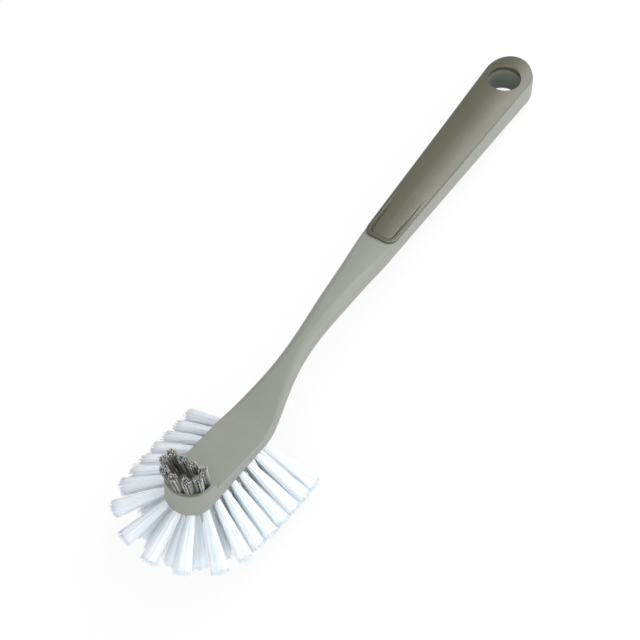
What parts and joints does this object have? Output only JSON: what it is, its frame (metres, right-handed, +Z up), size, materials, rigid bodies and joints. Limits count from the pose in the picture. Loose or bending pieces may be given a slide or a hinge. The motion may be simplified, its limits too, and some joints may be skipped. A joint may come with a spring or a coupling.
{
  "type": "dish brush",
  "caption": "Long-handled dish brush with a soft grip, a hang hole, a fan of white tufts below the head and stiff grey scouring tufts behind a guard at the tip.",
  "frame": {"origin": "below the middle of the brush's bounding box, on the surface that it lies on", "axes": "+X from the tip of the head to the end of the handle, +Z up, the grip's face upwards"},
  "size_m": [0.291, 0.0672, 0.0604],
  "materials": {
    "handle_plastic": "satin",
    "grip_rubber": "matte",
    "white_bristle": "satin",
    "grey_bristle": "satin",
    "anchor_metal": "satin"
  },
  "bodies": {
    "root": {"grip_layer": "grip_rubber", "handle_body": "handle_plastic", "lower_tuft_01": "white_bristle", "lower_tuft_02": "white_bristle", "lower_tuft_03": "white_bristle", "lower_tuft_04": "white_bristle", "lower_tuft_05": "white_bristle", "lower_tuft_06": "white_bristle", "lower_tuft_07": "white_bristle", "lower_tuft_08": "white_bristle", "lower_tuft_09": "white_bristle", "lower_tuft_10": "white_bristle", "lower_tuft_11": "white_bristle", "lower_tuft_12": "white_bristle", "lower_tuft_13": "white_bristle", "lower_tuft_14": "white_bristle", "lower_tuft_15": "white_bristle", "lower_tuft_16": "white_bristle", "lower_tuft_17": "white_bristle", "lower_tuft_18": "white_bristle", "middle_tuft_01": "white_bristle", "middle_tuft_02": "white_bristle", "middle_tuft_03": "white_bristle", "middle_tuft_04": "white_bristle", "middle_tuft_05": "white_bristle", "middle_tuft_06": "white_bristle", "middle_tuft_07": "white_bristle", "scour_anchors": "anchor_metal", "scour_tuft_01": "grey_bristle", "scour_tuft_02": "grey_bristle", "scour_tuft_03": "grey_bristle", "scour_tuft_04": "grey_bristle", "scour_tuft_05": "grey_bristle", "scour_tuft_06": "grey_bristle", "scour_tuft_07": "grey_bristle", "scour_tuft_08": "grey_bristle", "scour_tuft_09": "grey_bristle", "tuft_anchors": "anchor_metal", "upper_tuft_01": "white_bristle", "upper_tuft_02": "white_bristle", "upper_tuft_03": "white_bristle", "upper_tuft_04": "white_bristle", "upper_tuft_05": "white_bristle", "upper_tuft_06": "white_bristle", "upper_tuft_07": "white_bristle", "upper_tuft_08": "white_bristle", "upper_tuft_09": "white_bristle", "upper_tuft_10": "white_bristle", "upper_tuft_11": "white_bristle", "upper_tuft_12": "white_bristle", "upper_tuft_13": "white_bristle", "upper_tuft_14": "white_bristle", "upper_tuft_15": "white_bristle", "upper_tuft_16": "white_bristle", "upper_tuft_17": "white_bristle", "upper_tuft_18": "white_bristle", "upper_tuft_19": "white_bristle"}
  },
  "joints": []
}
